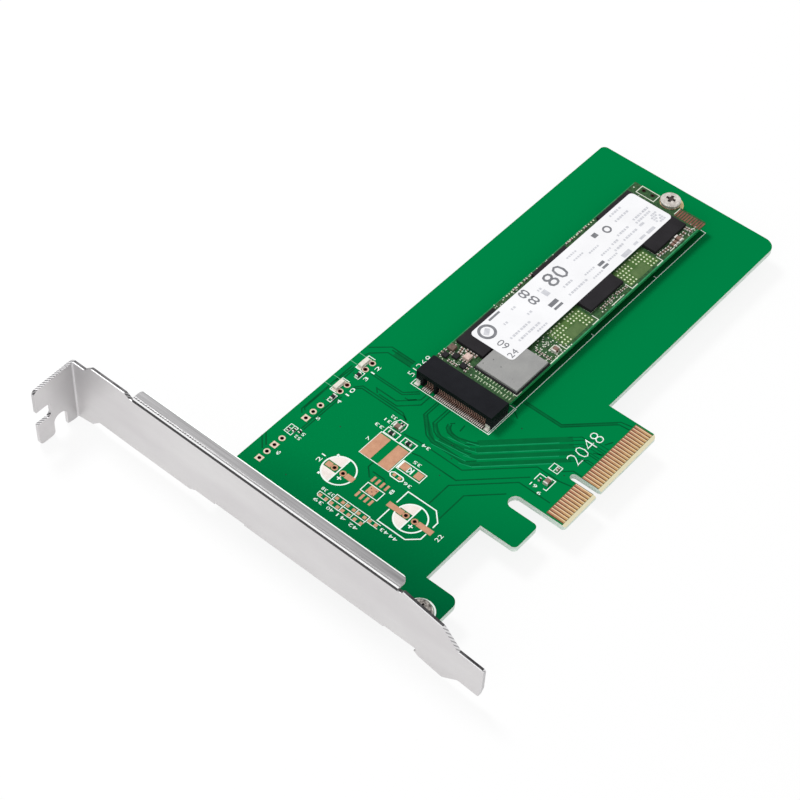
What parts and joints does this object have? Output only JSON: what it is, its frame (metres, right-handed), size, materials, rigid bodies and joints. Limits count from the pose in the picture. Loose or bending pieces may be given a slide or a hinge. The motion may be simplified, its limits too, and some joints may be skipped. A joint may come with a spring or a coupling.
{
  "type": "solid-state drive adapter card",
  "caption": "Green half-length adapter card with a full-height slot bracket, a bevelled contact edge and a bare solid-state drive board fitted flat in its socket.",
  "frame": {"origin": "key notch of the contact edge: its centre line, the lowest line of the edge and the component face of the card", "axes": "+X along the card away from the bracket, +Y from the contact edge towards the bracket's screw tab, +Z out of the component side"},
  "size_m": [0.1641, 0.1202, 0.0211],
  "materials": {
    "board_green": "satin green solder mask over glass-fibre board",
    "gold_plate": "thin plated copper, dull gold",
    "bracket_steel": "nickel-plated sheet steel, satin",
    "screw_steel": "bright plated steel",
    "tinned_pad": "tinned copper",
    "bare_copper": "bare copper with a clear finish",
    "socket_black": "moulded black plastic",
    "pin_metal": "plated contact spring",
    "solder": "solder and tinned ends",
    "standoff_brass": "pale plated brass",
    "drive_green": "olive green solder mask",
    "chip_black": "moulded package, fine matt",
    "controller_grey": "metal lid, matt grey",
    "label_white": "satin film label",
    "inductor_tan": "moulded inductor",
    "capacitor_tan": "ceramic",
    "light_white": "cream lens"
  },
  "bodies": {
    "root": {"bracket": "bracket_steel", "bracket_screws": "screw_steel", "capacitor_strips": "bare_copper", "chip_capacitor_ends": "solder", "chip_capacitors": "capacitor_tan", "chip_resistor_ends": "solder", "chip_resistors": "chip_black", "circuit_board": "board_green", "diode_pads": "bare_copper", "drive_board": "drive_green", "drive_buffer_memory": "chip_black", "drive_capacitor_ends": "solder", "drive_capacitors": "capacitor_tan", "drive_contact_strip": "gold_plate", "drive_controller_base": "chip_black", "drive_controller_lid": "controller_grey", "drive_edge_contacts": "gold_plate", "drive_flash_memory": "chip_black", "drive_ground_ring": "gold_plate", "drive_inductors": "inductor_tan", "drive_label": "label_white", "drive_power_chips": "chip_black", "edge_contacts_back": "gold_plate", "edge_contacts_front": "gold_plate", "hole_rings": "bare_copper", "inductor_pads": "bare_copper", "regulator_pads": "bare_copper", "screw_pads": "tinned_pad", "small_part_pads": "bare_copper", "socket_housing": "socket_black", "socket_pins_front": "pin_metal", "socket_pins_rear": "pin_metal", "socket_solder_tabs": "solder", "standoff": "standoff_brass", "standoff_screw": "screw_steel", "status_lights": "light_white"}
  },
  "joints": []
}
